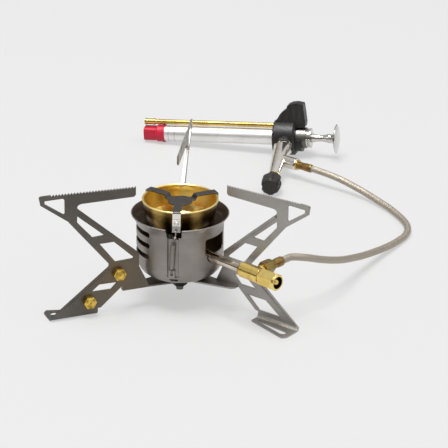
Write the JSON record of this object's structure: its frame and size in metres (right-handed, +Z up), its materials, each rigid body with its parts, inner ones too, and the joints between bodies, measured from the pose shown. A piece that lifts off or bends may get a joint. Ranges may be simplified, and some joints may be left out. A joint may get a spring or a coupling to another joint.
{
  "type": "multi-fuel camping stove",
  "caption": "Burner in a windshield cup on folding sheet-metal legs, joined by a braided fuel hose to a bottle pump with a control valve.",
  "frame": {"origin": "on the ground, directly under the burner's vertical axis", "axes": "+Z up; the pump lies behind the stove along +Y"},
  "size_m": [0.2592, 0.3669, 0.0925],
  "materials": {
    "brushed_cup": "brushed, heat-tinted",
    "leg_steel": "satin stamped sheet",
    "spreader_steel": "dark oxidised satin",
    "dark_steel": "dull",
    "polished_steel": "polished",
    "nickel": "bright nickel plate",
    "bell_brass": "spun, heat-tinted below the rim",
    "bright_brass": "machined bright",
    "dull_brass": "dull machined",
    "crimp_bronze": "crimped, darkened",
    "braid": "woven stainless braid",
    "black_plastic": "moulded",
    "red_plastic": "moulded",
    "barrel_aluminium": "satin anodised",
    "black_rubber": "soft",
    "brown_leather": "oiled"
  },
  "bodies": {
    "stove": {"windshield_cup": "brushed_cup", "pivot_bolt": "dark_steel", "pivot_washer": "dark_steel", "pivot_lower_washer": "dark_steel", "pivot_nut": "dark_steel", "burner_post": "dark_steel", "jet_block": "dull_brass", "jet": "bright_brass", "burner_throat": "dark_steel", "burner_bell": "bell_brass", "flame_plate": "spreader_steel", "flame_spreader": "spreader_steel", "retaining_strap": "polished_steel", "strap_rivet": "dark_steel", "retaining_spring": "polished_steel", "back_leg": "leg_steel", "fuel_pipe": "dull_brass", "pipe_sleeve": "nickel", "connector_block": "bright_brass", "end_cap_nut": "bright_brass", "cap_plug": "dull_brass", "union_nut": "dull_brass", "stove_ferrule": "crimp_bronze", "hose": "braid", "valve_ferrule": "crimp_bronze", "valve_body": "nickel", "valve_neck": "bright_brass", "valve_gland": "bright_brass", "pump_housing": "black_plastic", "valve_stud": "nickel", "bottle_gasket": "black_rubber", "pump_barrel": "barrel_aluminium", "barrel_end_cap": "red_plastic", "pickup_tube": "bright_brass", "pickup_tip": "bright_brass", "pump_collar": "nickel", "collar_ring": "nickel"},
    "left_leg_body": {"left_leg": "leg_steel", "spare_jet_upper": "bright_brass", "spare_jet_lower": "bright_brass"},
    "right_leg_body": {"right_leg": "leg_steel"},
    "coupling": {"coupling_ring": "nickel"},
    "valve_handle": {"valve_spindle": "polished_steel", "valve_knob": "black_plastic"},
    "plunger": {"plunger_rod": "nickel", "plunger_knob": "nickel", "plunger_cup": "brown_leather"}
  },
  "joints": [
    {"name": "left_leg_fold", "type": "hinge", "parent": "stove", "child": "left_leg_body", "pos_m": [0, 0, 0.0158], "axis": [0, 0, -1], "range_deg": [0, 109]},
    {"name": "right_leg_fold", "type": "hinge", "parent": "stove", "child": "right_leg_body", "pos_m": [0, 0, 0.0184], "axis": [0, 0, 1], "range_deg": [0, 109]},
    {"name": "coupling_turn", "type": "hinge", "parent": "stove", "child": "coupling", "pos_m": [0.07551, 0.25276, 0.01279], "axis": [-0.1549, -0.9855, -0.0688], "continuous": true},
    {"name": "valve_turn", "type": "hinge", "parent": "stove", "child": "valve_handle", "pos_m": [0.06675, 0.19708, 0.00891], "axis": [0.1549, 0.9855, 0.0688], "range_deg": [-720, 0]},
    {"name": "plunger_slide", "type": "slide", "parent": "stove", "child": "plunger", "axis": [0.9723, -0.2245, 0.0654], "range_m": [0, 0.075]}
  ]
}
